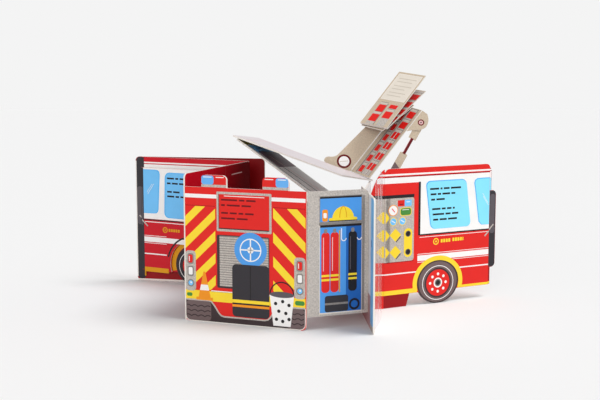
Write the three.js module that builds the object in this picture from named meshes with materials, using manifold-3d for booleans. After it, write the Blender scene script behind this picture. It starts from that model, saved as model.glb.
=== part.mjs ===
// Fire engine pop-up board book, opened and standing on its lower edges.
// Millimetres, +Z up, +X to the right of a viewer in front of the book, +Y away from that viewer.
// Board leaves stand upright and follow each other round the spine; a folded roof and a card
// ladder rise above them. Every leaf is one die-cut board with a fold gap to its neighbour.
import * as THREE from 'three';
import { mergeVertices } from 'three/addons/utils/BufferGeometryUtils.js';
import Module from 'manifold-3d';

const wasm = await Module();
wasm.setup();

// Board and card
const leafHeight = 180;
const boardThickness = 2;
const cardThickness = 1.2;
const filmThickness = 0.6;
const foldGap = 0.3;
const cornerRadius = 6;

// Engine body printed and cut on the leaves
const roofLine = 165;
const bodyBottom = 17;
const tyreRadius = 28.5;
const archRadius = 36.5;

// Leaf widths and headings, in degrees anticlockwise from +X seen from above
const spineAt = new THREE.Vector2(78, -28);
const doorWidth = 130;
const doorHeading = -86.7;
const doorHeight = 159;
const lockerWidth = 78;
const lockerHeading = 21.1;
const lockerReach = 82;
const lockerBottom = 16;
const rearWidth = 159.3;
const rearHeading = 159.4;
const innerWidth = 184.6;
const innerHeading = 67.1;
const leftSideWidth = 182.6;
const leftSideHeading = 155.7;
const leftCoverWidth = 190;
const leftCoverHeading = -11.5;
const stripWidth = 29.2;
const stripHeading = 5.9;
const rightSideWidth = 163.7;
const rightSideHeading = 27.3;
const rightCoverWidth = 168;
const rightCoverStandOff = 2.5;
const rightCoverHeight = 176;
const backWidth = 154;
const backHeading = 82.5;
const backPanelWidth = 138;
const backPanelHeight = 120;

// Die-cut features on the leaves
const lightBarWidth = 34;
const lightBarStarts = [23.8, 103.4];
const leftWheelFromFold = 88;
const rightWheelFromFold = 82.3;
const coverFootWidth = 35;
const coverFootSlope = 5;
const mirrorTabReach = 8;
const mirrorTabBottom = 40;
const mirrorTabTop = 144;

// Curved flap on the left side and curved clear film at the right
const flapWidth = 150;
const flapBulge = 14;
const filmBottom = 5;
const filmHeight = 173;
const filmBulge = 5;
const curveSteps = 24;

// Folded roof
const roofTip = new THREE.Vector3(-83.5, -35, 222.9);
const roofFarStep = new THREE.Vector3(24.9, 160, -14.5);
const roofSlope = -0.368;
const roofNearLength = 136;
const roofFarLength = 160.5;
const innerRoofInset = 6;
const innerRoofSlope = -0.748;
const innerRoofLength = 153;

// Ladder
const ladderFoot = new THREE.Vector3(73.1, 132, 163.3);
const ladderAcross = new THREE.Vector3(0.6, -0.784, -0.157).normalize();
const ladderAlong = new THREE.Vector3(0.601, 0.312, 0.736).normalize();
const bedWidth = 41;
const bedLength = 121.9;
const bedFootExtension = 2.3;
const sectionCorner = new THREE.Vector3(85, 142, 229.2);
const sectionAcross = new THREE.Vector3(34.8, -30, -5.6).normalize();
const sectionAlong = new THREE.Vector3(58.5, 54.9, 69.8).normalize();
const sectionWidth = 46.5;
const sectionLength = 107.5;
const middleAlong = new THREE.Vector3(64, 65, 54).normalize();
const middleLength = 98;
const foldStep = 1.7;
const strutReach = 27;
const strutSleeveWidth = 11;
const strutRodWidth = 3.2;
const strutRodEnd = 50;

const red = 0xd8261f;
const darkRed = 0x8f0a14;
const grey = 0xb4aca4;
const blue = 0x4fa3e0;
const white = 0xf1eee9;
const taupe = 0xa39684;

const book = new THREE.Group();
const radians = THREE.MathUtils.degToRad;

function paper(color, options = {}) {
  return new THREE.MeshStandardMaterial({ color, roughness: 0.45, metalness: 0, ...options });
}

function heading(degrees) {
  return new THREE.Vector2(Math.cos(radians(degrees)), Math.sin(radians(degrees)));
}

function along(point, degrees, distance) {
  return point.clone().addScaledVector(heading(degrees), distance);
}

// How far a board stops short of a fold whose two boards stand at this angle to each other.
function setback(angle, thickness = boardThickness) {
  const half = radians(angle) / 2;
  return thickness / 2 / Math.tan(half) + foldGap / 2 / Math.sin(half);
}

function turn(from, to) {
  const difference = Math.abs(from - to) % 360;
  return Math.min(difference, 360 - difference);
}

function add(name, geometry, material, basis, position) {
  const mesh = new THREE.Mesh(geometry, material);
  mesh.name = name;
  mesh.quaternion.setFromRotationMatrix(basis);
  mesh.position.copy(position);
  book.add(mesh);
  return mesh;
}

// Extrudes a flat outline by a thickness and centres it on the sheet's middle plane.
function sheet(outline, thickness) {
  const geometry = new THREE.ExtrudeGeometry(outline, {
    depth: thickness, bevelEnabled: false, curveSegments: 10,
  });
  geometry.translate(0, 0, -thickness / 2);
  return geometry;
}

// An upright leaf: the outline's x runs along the heading and its y is the height.
function leaf(name, outline, material, start, degrees) {
  const run = heading(degrees);
  const basis = new THREE.Matrix4().makeBasis(
    new THREE.Vector3(run.x, run.y, 0),
    new THREE.Vector3(0, 0, 1),
    new THREE.Vector3(run.y, -run.x, 0),
  );
  return add(name, sheet(outline, boardThickness), material, basis, new THREE.Vector3(start.x, start.y, 0));
}

// A leaning card panel: the outline's x runs across and its y along.
function panel(name, outline, material, corner, across, run, thickness = cardThickness) {
  const lengthwise = run.clone().addScaledVector(across, -run.dot(across)).normalize();
  const basis = new THREE.Matrix4().makeBasis(
    across, lengthwise, new THREE.Vector3().crossVectors(across, lengthwise),
  );
  return add(name, sheet(outline, thickness), material, basis, corner);
}

// A rectangle from (x0, y0) to (x1, y1) with a radius of its own at each corner.
function rounded(x0, y0, x1, y1, { bottomLeft = 0, bottomRight = 0, topRight = 0, topLeft = 0 } = {}) {
  const shape = new THREE.Shape();
  shape.moveTo(x0 + bottomLeft, y0);
  shape.lineTo(x1 - bottomRight, y0);
  if (bottomRight) shape.absarc(x1 - bottomRight, y0 + bottomRight, bottomRight, -Math.PI / 2, 0);
  shape.lineTo(x1, y1 - topRight);
  if (topRight) shape.absarc(x1 - topRight, y1 - topRight, topRight, 0, Math.PI / 2);
  shape.lineTo(x0 + topLeft, y1);
  if (topLeft) shape.absarc(x0 + topLeft, y1 - topLeft, topLeft, Math.PI / 2, Math.PI);
  shape.lineTo(x0, y0 + bottomLeft);
  if (bottomLeft) shape.absarc(x0 + bottomLeft, y0 + bottomLeft, bottomLeft, Math.PI, 1.5 * Math.PI);
  return shape;
}

// An engine side: a body that ends above the floor, with a tyre cut round below it.
function engineSide(x0, x1, wheelX, corners) {
  const drop = tyreRadius - bodyBottom;
  const halfChord = Math.sqrt(tyreRadius ** 2 - drop ** 2);
  const dip = Math.asin(drop / tyreRadius);
  const { topLeft = 0, topRight = 0 } = corners;
  const shape = new THREE.Shape();
  shape.moveTo(x0, bodyBottom);
  shape.lineTo(wheelX - halfChord, bodyBottom);
  shape.absarc(wheelX, tyreRadius, tyreRadius, Math.PI + dip, 2 * Math.PI - dip);
  shape.lineTo(x1, bodyBottom);
  shape.lineTo(x1, leafHeight - topRight);
  if (topRight) shape.absarc(x1 - topRight, leafHeight - topRight, topRight, 0, Math.PI / 2);
  shape.lineTo(x0 + topLeft, leafHeight);
  if (topLeft) shape.absarc(x0 + topLeft, leafHeight - topLeft, topLeft, Math.PI / 2, Math.PI);
  return shape;
}

// A curved sheet standing on edge: its plan line bows to one side by the bulge.
function bowedSheet(start, end, bow, thickness, bottom, height) {
  const run = end.clone().sub(start);
  const side = new THREE.Vector2(run.y, -run.x).normalize();
  const point = (t, offset) => start.clone()
    .addScaledVector(run, t)
    .addScaledVector(side, bow(t) + offset);
  const steps = Array.from({ length: curveSteps + 1 }, (_, i) => i / curveSteps);
  const outer = steps.map((t) => point(t, thickness / 2));
  const inner = steps.map((t) => point(t, -thickness / 2)).reverse();
  const plan = new THREE.Shape([...outer, ...inner]);
  const geometry = new THREE.ExtrudeGeometry(plan, { depth: height, bevelEnabled: false });
  geometry.translate(0, 0, bottom);
  return geometry;
}

function solid(geometry) {
  const bare = geometry.clone();
  bare.deleteAttribute('normal');
  bare.deleteAttribute('uv');
  const merged = mergeVertices(bare, 1e-4);
  return new wasm.Manifold(new wasm.Mesh({
    numProp: 3,
    vertProperties: new Float32Array(merged.attributes.position.array),
    triVerts: new Uint32Array(merged.index.array),
  }));
}

function cut(geometry, tool) {
  const result = solid(geometry).subtract(solid(tool)).getMesh();
  const trimmed = new THREE.BufferGeometry();
  trimmed.setAttribute('position', new THREE.BufferAttribute(new Float32Array(result.vertProperties), 3));
  trimmed.setIndex(Array.from(result.triVerts));
  trimmed.computeVertexNormals();
  return trimmed;
}

const upright = new THREE.Matrix4();
const noShift = new THREE.Vector3();

// Three leaves meet at the spine
const spineSetback = setback(turn(backHeading, stripHeading));

// Door leaf, seen edge-on, from the spine towards the viewer
leaf('door_leaf', rounded(spineSetback, 0, doorWidth, doorHeight, {
  bottomRight: cornerRadius, topRight: cornerRadius,
}), paper(blue), spineAt, doorHeading);

// Locker leaf meets the door leaf and folds to the rear leaf
const doorFace = boardThickness / 2 + foldGap + (boardThickness / 2) * Math.abs(
  Math.cos(radians(lockerHeading - doorHeading)),
);
const lockerRight = along(along(spineAt, doorHeading, lockerReach), doorHeading - 90, doorFace);
const rearFold = along(lockerRight, lockerHeading, -lockerWidth);
const rearFoldSetback = setback(turn(lockerHeading, rearHeading));
leaf('locker_leaf', rounded(rearFoldSetback, lockerBottom, lockerWidth, roofLine, {
  topRight: cornerRadius,
}), paper(grey), rearFold, lockerHeading);

// Rear leaf with its two light bars cut along the top edge
const innerFold = along(rearFold, rearHeading, rearWidth);
const innerFoldSetback = setback(turn(rearHeading + 180, innerHeading));
function rearOutline() {
  const x0 = innerFoldSetback;
  const x1 = rearWidth - rearFoldSetback;
  const shape = new THREE.Shape();
  shape.moveTo(x0 + cornerRadius, 0);
  shape.lineTo(x1 - cornerRadius, 0);
  shape.absarc(x1 - cornerRadius, cornerRadius, cornerRadius, -Math.PI / 2, 0);
  shape.lineTo(x1, roofLine);
  [...lightBarStarts].reverse().forEach((start) => {
    const end = start + lightBarWidth;
    shape.lineTo(end, roofLine);
    shape.lineTo(end, leafHeight - cornerRadius);
    shape.absarc(end - cornerRadius, leafHeight - cornerRadius, cornerRadius, 0, Math.PI / 2);
    shape.lineTo(start + cornerRadius, leafHeight);
    shape.absarc(start + cornerRadius, leafHeight - cornerRadius, cornerRadius, Math.PI / 2, Math.PI);
    shape.lineTo(start, roofLine);
  });
  shape.lineTo(x0, roofLine);
  shape.lineTo(x0, cornerRadius);
  shape.absarc(x0 + cornerRadius, cornerRadius, cornerRadius, Math.PI, 1.5 * Math.PI);
  return shape;
}
leaf('rear_leaf', rearOutline(), paper(red), innerFold, rearHeading + 180);

// Left inner leaf runs from the rear leaf back to the left side
const sideFold = along(innerFold, innerHeading, innerWidth);
const sideFoldSetback = setback(turn(innerHeading + 180, leftSideHeading));
leaf('left_inner_leaf', rounded(innerFoldSetback, 0, innerWidth - sideFoldSetback, leafHeight, {
  topLeft: cornerRadius, topRight: cornerRadius,
}), paper(darkRed), innerFold, innerHeading);

// Left side leaf: engine side with a wheel, ending at the cover's hinge
const hingeAt = along(sideFold, leftSideHeading, leftSideWidth);
const hingeAngle = turn(leftSideHeading + 180, leftCoverHeading);
const sideHingeSetback = (boardThickness / 2 * (1 + Math.cos(radians(hingeAngle))) + foldGap)
  / Math.sin(radians(hingeAngle));
const sideStart = leftSideWidth - sideFoldSetback;
leaf('left_side_leaf', engineSide(sideHingeSetback, sideStart, leftSideWidth - leftWheelFromFold, {}),
  paper(red), hingeAt, leftSideHeading + 180);

// Flap hinged on the left side leaf, bowed towards the viewer, cut back round the wheel arch
function leftFlap() {
  const away = boardThickness + foldGap;
  const start = along(along(hingeAt, leftSideHeading + 180, sideHingeSetback), leftSideHeading + 90, away);
  const end = along(start, leftSideHeading + 180, flapWidth);
  const bow = (t) => flapBulge * t * t * (1.6 - 0.6 * t);
  const wall = bowedSheet(start, end, bow, boardThickness, bodyBottom, roofLine - bodyBottom);
  const arch = new THREE.CylinderGeometry(archRadius, archRadius, 6 * flapBulge, 48);
  const wheel = along(hingeAt, leftSideHeading + 180, leftSideWidth - leftWheelFromFold);
  arch.rotateZ(radians(leftSideHeading - 180));
  arch.translate(wheel.x, wheel.y, tyreRadius);
  return cut(wall, arch);
}
add('left_side_flap', leftFlap(), paper(red), upright, noShift);

// Left cover board behind the left side, on its own hinge
leaf('left_cover_board', rounded(0, 0, leftCoverWidth, leafHeight, {
  bottomLeft: cornerRadius, topLeft: cornerRadius, bottomRight: cornerRadius, topRight: cornerRadius,
}), paper(darkRed), hingeAt, leftCoverHeading);

// Narrow strip from the spine to the right side leaf, and the right side with its wheel
const sideCorner = along(spineAt, stripHeading, stripWidth);
const stripSetback = setback(180 - turn(stripHeading, rightSideHeading));
leaf('right_fold_strip', rounded(spineSetback, 0, stripWidth - stripSetback, leafHeight, {
  topRight: cornerRadius / 3,
}), paper(red), spineAt, stripHeading);
leaf('right_side_leaf', engineSide(stripSetback, rightSideWidth, rightWheelFromFold, {
  topLeft: cornerRadius, topRight: cornerRadius,
}), paper(red), sideCorner, rightSideHeading);

// Right cover board behind the right side, with a foot by the spine and a mirror tab outside
const coverHinge = along(sideCorner, rightSideHeading + 90, rightCoverStandOff);
function rightCoverOutline() {
  const radius = cornerRadius;
  const end = rightCoverWidth;
  const tabEnd = rightCoverWidth + mirrorTabReach;
  const shape = new THREE.Shape();
  shape.moveTo(0, 0);
  shape.lineTo(coverFootWidth, 0);
  shape.lineTo(coverFootWidth + coverFootSlope, bodyBottom);
  shape.lineTo(end, bodyBottom);
  shape.lineTo(end, mirrorTabBottom);
  shape.lineTo(tabEnd - radius, mirrorTabBottom);
  shape.absarc(tabEnd - radius, mirrorTabBottom + radius, radius, -Math.PI / 2, 0);
  shape.lineTo(tabEnd, mirrorTabTop - radius);
  shape.absarc(tabEnd - radius, mirrorTabTop - radius, radius, 0, Math.PI / 2);
  shape.lineTo(end, mirrorTabTop);
  shape.lineTo(end, rightCoverHeight - radius);
  shape.absarc(end - radius, rightCoverHeight - radius, radius, 0, Math.PI / 2);
  shape.lineTo(0, rightCoverHeight);
  return shape;
}
leaf('right_cover_board', rightCoverOutline(), paper(darkRed), coverHinge, rightSideHeading);

// Clear film page, bowed to the right between the spine strip and the door leaf's free edge
const filmStart = along(along(spineAt, stripHeading, stripWidth * 0.8), stripHeading - 90,
  boardThickness / 2 + foldGap);
const filmEnd = along(along(spineAt, doorHeading, doorWidth - cornerRadius), doorHeading + 90,
  boardThickness / 2 + foldGap + filmThickness);
add('clear_film_page', bowedSheet(filmStart, filmEnd, (t) => -filmBulge * Math.sin(Math.PI * t),
  filmThickness, filmBottom, filmHeight),
paper(0xffffff, { transparent: true, opacity: 0.35, roughness: 0.08 }), upright, noShift);

// Roof plane: its height over a point of the plan
const roofFarSlope = (roofFarStep.z - roofSlope * roofFarStep.x) / roofFarStep.y;
function roofHeight(x, y) {
  return roofTip.z + roofSlope * (x - roofTip.x) + roofFarSlope * (y - roofTip.y);
}
const roofRun = new THREE.Vector3(1, 0, roofSlope).normalize();
const roofDepth = roofFarStep.clone().normalize();
const roofNormal = new THREE.Vector3().crossVectors(roofRun, roofDepth).normalize();

// A board between two edges that run down from a ridge: a near one and a far one.
function slopingBoard(name, material, ridgeNear, depth, down, nearLength, farLength) {
  const across = depth.clone().normalize();
  const skew = down.dot(across);
  const fall = down.clone().addScaledVector(across, -skew).normalize();
  const flat = (vector) => new THREE.Vector2(vector.dot(across), vector.dot(fall));
  const shape = new THREE.Shape([
    new THREE.Vector2(0, 0),
    flat(depth),
    flat(depth.clone().addScaledVector(down, farLength)),
    flat(down.clone().multiplyScalar(nearLength)),
  ]);
  return panel(name, shape, material, ridgeNear, across, fall, boardThickness);
}
slopingBoard('roof_leaf_upper', paper(white), roofTip, roofFarStep, roofRun,
  roofNearLength / roofRun.x, roofFarLength / roofRun.x);

// Inner roof leaf hangs from the ridge under the upper one
const innerRun = new THREE.Vector3(1, 0, innerRoofSlope).normalize();
const ridgeDrop = boardThickness + foldGap;
const innerRidge = roofTip.clone()
  .addScaledVector(roofRun, innerRoofInset)
  .addScaledVector(roofNormal, -ridgeDrop);
slopingBoard('roof_leaf_inner', paper(grey), innerRidge, roofFarStep, innerRun,
  innerRoofLength, innerRoofLength);

// Leaf behind the spine that carries the roof's far corner
const backEnd = along(spineAt, backHeading, backWidth);
const backHeight = roofHeight(backEnd.x, backEnd.y)
  - boardThickness / 2 / roofNormal.z - Math.abs(roofSlope) * boardThickness - foldGap;
leaf('back_leaf', rounded(spineSetback, 0, backWidth, backHeight), paper(darkRed), spineAt, backHeading);
const backPanelStart = along(backEnd, backHeading, boardThickness / 2 + foldGap);
leaf('back_panel', rounded(0, 0, backPanelWidth, backPanelHeight, {
  topLeft: cornerRadius, bottomLeft: cornerRadius,
}), paper(darkRed), new THREE.Vector2(backPanelStart.x - backPanelWidth, backPanelStart.y), 0);

// Ladder bed, leaning from the roof
panel('ladder_bed', rounded(setback(138), -bedFootExtension, bedWidth - setback(138), bedLength),
  paper(taupe), ladderFoot, ladderAcross, ladderAlong);

// Side plates folded from both edges of the bed, facing the viewer
const plateOut = new THREE.Vector3(-1, 0, 0).addScaledVector(ladderAlong, ladderAlong.x).normalize();
function leftPlateOutline() {
  const edge = setback(138);
  const shape = new THREE.Shape();
  shape.moveTo(edge, -bedFootExtension);
  shape.lineTo(28, -14);
  shape.lineTo(39, -13);
  shape.quadraticCurveTo(43, -9, 38.5, -4);
  shape.quadraticCurveTo(31, 0, 29.5, 6);
  shape.lineTo(21.5, 74);
  shape.quadraticCurveTo(20.5, 83, 11, 88);
  shape.lineTo(edge, 90);
  return shape;
}
panel('ladder_left_plate', leftPlateOutline(), paper(taupe), ladderFoot, plateOut, ladderAlong);
const bedFarCorner = ladderFoot.clone().addScaledVector(ladderAcross, bedWidth);
const strutPivot = new THREE.Vector2(9.3, 106.3);
function rightPlateOutline() {
  const edge = setback(138);
  const shape = new THREE.Shape();
  shape.moveTo(edge, 84);
  shape.lineTo(edge, bedLength);
  shape.lineTo(9, bedLength);
  shape.quadraticCurveTo(18, 116, 18.5, 106);
  shape.quadraticCurveTo(17, 96, 9, 93);
  shape.lineTo(edge, 84);
  return shape;
}
const rightOut = plateOut.clone().negate();
panel('ladder_right_plate', rightPlateOutline(), paper(taupe), bedFarCorner, rightOut, ladderAlong);

// Strut: one card strip with two wide sleeves and a narrow rod, from the right plate down to the back leaf
function strut() {
  const pivot = bedFarCorner.clone()
    .addScaledVector(rightOut, strutPivot.x)
    .addScaledVector(ladderAlong, strutPivot.y);
  const plane = new THREE.Vector3(0, ladderAlong.y, ladderAlong.z).normalize();
  const behind = new THREE.Vector3(0, plane.z, -plane.y);
  const top = pivot.clone().addScaledVector(behind, cardThickness + foldGap);
  const run = new THREE.Vector3(-36.3, 0, 0).addScaledVector(plane, -65.2).normalize();
  const across = new THREE.Vector3().crossVectors(behind, run).normalize();
  const backDirection = heading(backHeading);
  const side = new THREE.Vector3(backDirection.y, -backDirection.x, 0);
  const toBack = (point) => point.clone().sub(new THREE.Vector3(spineAt.x, spineAt.y, 0)).dot(side);
  const wide = strutSleeveWidth / 2;
  const thin = strutRodWidth / 2;
  const clearance = boardThickness / 2 + foldGap + wide * Math.abs(across.dot(side)) + cardThickness;
  const length = (toBack(top) - clearance) / -run.dot(side);
  const shape = new THREE.Shape();
  shape.moveTo(-wide, -wide);
  shape.lineTo(wide, -wide);
  shape.lineTo(wide, strutReach);
  shape.lineTo(thin, strutReach);
  shape.lineTo(thin, strutRodEnd);
  shape.lineTo(wide, strutRodEnd + thin);
  shape.lineTo(wide, length);
  shape.lineTo(-wide, length);
  shape.lineTo(-wide, strutRodEnd + thin);
  shape.lineTo(-thin, strutRodEnd);
  shape.lineTo(-thin, strutReach);
  shape.lineTo(-wide, strutReach);
  panel('ladder_strut', shape, paper(taupe), top, across, run);
}
strut();

// Folded ladder sections above the bed: the front one faces the viewer
const sectionNormal = new THREE.Vector3().crossVectors(sectionAcross, sectionAlong).normalize();
panel('ladder_front_section', rounded(0, 0, sectionWidth, sectionLength),
  paper(taupe), sectionCorner, sectionAcross, sectionAlong);
const middleCorner = sectionCorner.clone().addScaledVector(sectionNormal, -foldStep);
panel('ladder_middle_section', rounded(0, 0, sectionWidth, middleLength),
  paper(taupe), middleCorner, sectionAcross, middleAlong);
const bedTop = ladderFoot.clone().addScaledVector(ladderAlong, bedLength);
const lowerCorner = sectionCorner.clone().addScaledVector(sectionNormal, -3 * foldStep);
const bedNormal = new THREE.Vector3().crossVectors(ladderAcross, ladderAlong).normalize();
const lowerRun = bedTop.clone().addScaledVector(bedNormal, 1.7 * foldStep).sub(lowerCorner);
const lowerAcross = ladderAcross.clone().add(sectionAcross).normalize();
panel('ladder_lower_section', rounded(0, 0, bedWidth, lowerRun.length()),
  paper(taupe), lowerCorner, lowerAcross, lowerRun);

// The book stands on z = 0 with its plan box centred on the origin.
book.updateMatrixWorld(true);
const box = new THREE.Box3().setFromObject(book, true);
const middle = box.getCenter(new THREE.Vector3());
book.children.forEach((mesh) => mesh.position.sub(new THREE.Vector3(middle.x, middle.y, box.min.z)));

export default book;
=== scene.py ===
"""Looks of a pop up book shaped like a red engine: printed boards, folding ladder, clear page and stage."""
import math

import bpy
import numpy as np
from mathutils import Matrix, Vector


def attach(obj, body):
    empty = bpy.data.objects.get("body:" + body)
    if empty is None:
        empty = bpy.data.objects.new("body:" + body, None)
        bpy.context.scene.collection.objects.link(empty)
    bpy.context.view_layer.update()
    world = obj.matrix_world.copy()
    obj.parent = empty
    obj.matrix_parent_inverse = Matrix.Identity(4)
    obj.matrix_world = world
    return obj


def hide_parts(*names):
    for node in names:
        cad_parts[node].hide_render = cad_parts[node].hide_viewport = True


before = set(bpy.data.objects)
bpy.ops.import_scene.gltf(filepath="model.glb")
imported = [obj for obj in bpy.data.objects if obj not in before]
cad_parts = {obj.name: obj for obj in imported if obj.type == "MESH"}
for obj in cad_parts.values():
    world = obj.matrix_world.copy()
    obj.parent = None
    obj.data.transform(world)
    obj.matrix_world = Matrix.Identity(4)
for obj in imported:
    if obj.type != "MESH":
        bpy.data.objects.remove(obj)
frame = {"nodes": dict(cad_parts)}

bl_info = {
    "name": "Pop up book prints",
    "version": (1, 0, 0),
    "blender": (4, 0, 0),
    "location": "View3D > Sidebar > Pop up book",
    "description": "Adds the printed faces, the card finishes and a pale stage to a pop up book.",
    "category": "Add Mesh",
}

MM = 0.001

# Half thicknesses, the step from one layer of ink to the next, and how far an ink reaches into its board
BOARD_HALF = 1.0
CARD_HALF = 0.6
GLINT_HALF = 0.6
LAYER_STEP = 0.05
INK_DEPTH = 0.25

# Headings of the upright leaves, in degrees
REAR_HEADING = -20.6
LOCKER_HEADING = 21.1
INNER_HEADING = 67.1
LEFT_SIDE_HEADING = -24.3
LEFT_COVER_HEADING = -11.5
STRIP_HEADING = 5.9
DOOR_HEADING = -86.7
BACK_HEADING = 82.5
RIGHT_SIDE_HEADING = 27.3
FILM_HEADING = -96.55

# Folds that leaves start from, in millimetres
REAR_FOLD = (-154.37, -104.56)
LEFT_HINGE = (-248.96, 140.63)
SPINE = (64.40, -50.57)
BED_FOOT = (59.50, 109.43, 163.30)

# Directions across and along the ladder's cards, and down and along the roof's boards
BED_ACROSS = (0.6, -0.784, -0.157)
BED_RUN = (0.601, 0.312, 0.736)
SECTION_ACROSS = (34.8, -30.0, -5.6)
FRONT_RUN = (58.5, 54.9, 69.8)
MIDDLE_RUN = (64.0, 65.0, 54.0)
ROOF_FALL = (1.0, 0.0, -0.368)
ROOF_INNER_FALL = (1.0, 0.0, -0.748)
ROOF_DEPTH = (24.9, 160.0, -14.5)

# The film's bow, and its width
FILM_BOW = -5.0
FILM_WIDTH = 125.6

# The flap's start, width and bow
FLAP_START = 10.27
FLAP_WIDTH = 150.0
FLAP_STAND_OFF = 2.3
FLAP_BOW = 14.0

# Level lines that run round the sides, each as its lower and upper height
ROOF_LINE = (171.0, 173.2)
UPPER_BAND = (161.2, 168.6)
WAIST_BAND = (58.2, 65.4)
WAIST_LINES = ((66.8, 67.5), WAIST_BAND, (56.2, 56.9))
LOWER_LINE = (43.6, 45.2)
SILL = (17.3, 23.0)

# Wheel centres, as distance along the side and height
LEFT_WHEEL = (94.6, 28.5)
RIGHT_WHEEL = (82.3, 28.5)

# How far a ladder column's rungs are apart
RUNG_PITCH = 19.0

# The camera that matches the photograph's view: place in metres, tilt down in degrees, lens in millimetres
CAMERA_PLACE = (-0.0136, -1.4026, 0.314)
CAMERA_TILT = 7.28
CAMERA_LENS = 64.8
BACKDROP_LEVEL = 0.905

# Paper: how rough, how strong its tooth is, and how uneven its ink
PAPER_ROUGH = 0.38
DULL_ROUGH = 0.7
PAPER_TOOTH = 0.12
INK_UNEVEN = 0.035

# Ink colours, as 0 to 255
INKS = {
    "red": (226, 34, 28),
    # The next ink is red painted darker: painted shade for the left side, its flap and the inner leaf, which
    # stand in shade.
    "side_red": (204, 14, 34),
    "dark_red": (158, 6, 16),
    "maroon": (104, 6, 14),
    # The next ink is painted shade: the inner leaf darkens to it towards the back of the book.
    "painted_shade_wine": (128, 8, 18),
    "yellow": (252, 219, 52),
    # The next ink is the locker's own gold, and on the left side a yellow painted darker as painted shade.
    "gold_and_painted_shade_yellow": (226, 158, 18),
    "orange": (244, 150, 30),
    "white": (247, 245, 243),
    "black": (34, 31, 34),
    # The next ink is the own dark of posts and cases, and on the left wheel a tyre painted darker as painted
    # shade.
    "charcoal_and_painted_shade_tyre": (52, 49, 54),
    "smoke": (92, 86, 92),
    "sky": (138, 229, 255),
    "sky_left": (118, 198, 252),
    "sky_edge": (84, 184, 246),
    "lamp_blue": (106, 178, 242),
    "locker_blue": (80, 156, 230),
    "deep_blue": (36, 100, 180),
    # The next ink is a painted shadow on the door leaf's lower rear part, under the locker.
    "painted_shadow_rose": (190, 138, 140),
    "faint": (206, 196, 182),
    "speckle": (197, 189, 181),
    "steel": (140, 134, 130),
    "taupe": (204, 187, 164),
    "tyre": (112, 94, 94),
    "tyre_dark": (62, 50, 52),
    "green": (72, 142, 62),
    "cream": (228, 219, 206),
    "edge": (240, 234, 226),
    "roof": (230, 221, 224),
    "olive": (170, 160, 70),
    "plum": (96, 30, 58),
    "pink": (238, 190, 190),
}

# Inks with a visible speckle, and how strong it is
SPECKLED = {"speckle": 0.30, "taupe": 0.16, "steel": 0.2}


def linear(rgb):
    """The linear colour of an sRGB triple from 0 to 255: c / 12.92 below 0.04045, else a power of 2.4."""
    c = np.asarray(rgb, dtype=float) / 255.0
    low = c / 12.92
    high = ((c + 0.055) / 1.055) ** 2.4
    return tuple(np.where(c <= 0.04045, low, high))


# Frames: each maps (along, up, off) in millimetres to points in the row frame

def upright(x, y, degrees, bow=None):
    """An upright leaf: (x, y) plus a along its heading, u up from the floor, and h towards its front.

    bow is a function of a that is added to h."""
    c = math.cos(math.radians(degrees))
    s = math.sin(math.radians(degrees))

    def at(a, u, h):
        off = h if bow is None else h + bow(a)
        return np.stack([x + a * c + off * s, y + a * s - off * c, u + 0.0 * a], axis=-1) * MM

    return at


def leaning(corner, across, run):
    """A leaning panel: corner + a across + b along the run, made square to it, + h off the middle plane."""
    u = np.asarray(across, dtype=float)
    u = u / np.linalg.norm(u)
    v = np.asarray(run, dtype=float)
    v = v - u * np.dot(u, v)
    v = v / np.linalg.norm(v)
    n = np.cross(u, v)
    origin = np.asarray(corner, dtype=float)

    def at(a, b, h):
        return (origin + a[..., None] * u + b[..., None] * v + h[..., None] * n) * MM

    return at


def sloping(corner, down, depth):
    """A skewed sloping board: corner + a down its slope + b back along its ridge + h off its middle plane."""
    u = np.asarray(down, dtype=float)
    u = u / np.linalg.norm(u)
    v = np.asarray(depth, dtype=float)
    v = v / np.linalg.norm(v)
    n = np.cross(u, v)
    n = n / np.linalg.norm(n)
    origin = np.asarray(corner, dtype=float)

    def at(a, b, h):
        return (origin + a[..., None] * u + b[..., None] * v + h[..., None] * n) * MM

    return at


def flap_bow(a):
    """How far the side flap stands out: its stand-off + bow * t^2 (1.6 - 0.6 t), t from 0 to 1 along it."""
    t = np.clip((a - FLAP_START) / FLAP_WIDTH, 0.0, 1.0)
    return FLAP_STAND_OFF + FLAP_BOW * t * t * (1.6 - 0.6 * t)


def film_bow(a):
    """How far the film stands out: half a sine wave over its width."""
    return FILM_BOW * np.sin(np.pi * np.clip(a / FILM_WIDTH, 0.0, 1.0))


REAR = upright(*REAR_FOLD, REAR_HEADING)
LOCKER = upright(-5.25, -160.61, LOCKER_HEADING)
INNER = upright(*REAR_FOLD, INNER_HEADING)
LEFT_SIDE = upright(*LEFT_HINGE, LEFT_SIDE_HEADING)
LEFT_FLAP = upright(*LEFT_HINGE, LEFT_SIDE_HEADING, flap_bow)
LEFT_COVER = upright(*LEFT_HINGE, LEFT_COVER_HEADING)
STRIP = upright(*SPINE, STRIP_HEADING)
DOOR = upright(*SPINE, DOOR_HEADING)
RIGHT_SIDE = upright(93.45, -47.57, RIGHT_SIDE_HEADING)
RIGHT_COVER = upright(92.30, -45.35, RIGHT_SIDE_HEADING)
FILM = upright(87.77, -49.46, FILM_HEADING, film_bow)
BED = leaning(BED_FOOT, BED_ACROSS, BED_RUN)
LEFT_PLATE = leaning(BED_FOOT, (-0.799, 0.234, 0.553), BED_RUN)
RIGHT_PLATE = leaning((84.11, 77.27, 156.86), (0.799, -0.234, -0.553), BED_RUN)
STRUT = leaning((155.42, 109.63, 229.36), (-0.874, 0.190, 0.448), (-0.487, -0.341, -0.805))
FRONT = leaning((71.40, 119.43, 229.20), SECTION_ACROSS, FRONT_RUN)
MIDDLE = leaning((72.02, 120.38, 227.93), SECTION_ACROSS, MIDDLE_RUN)
ROOF = sloping((-97.10, -57.57, 222.90), ROOF_FALL, ROOF_DEPTH)
ROOF_INNER = sloping((-92.26, -57.65, 218.67), ROOF_INNER_FALL, ROOF_DEPTH)


# Print shapes

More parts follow.
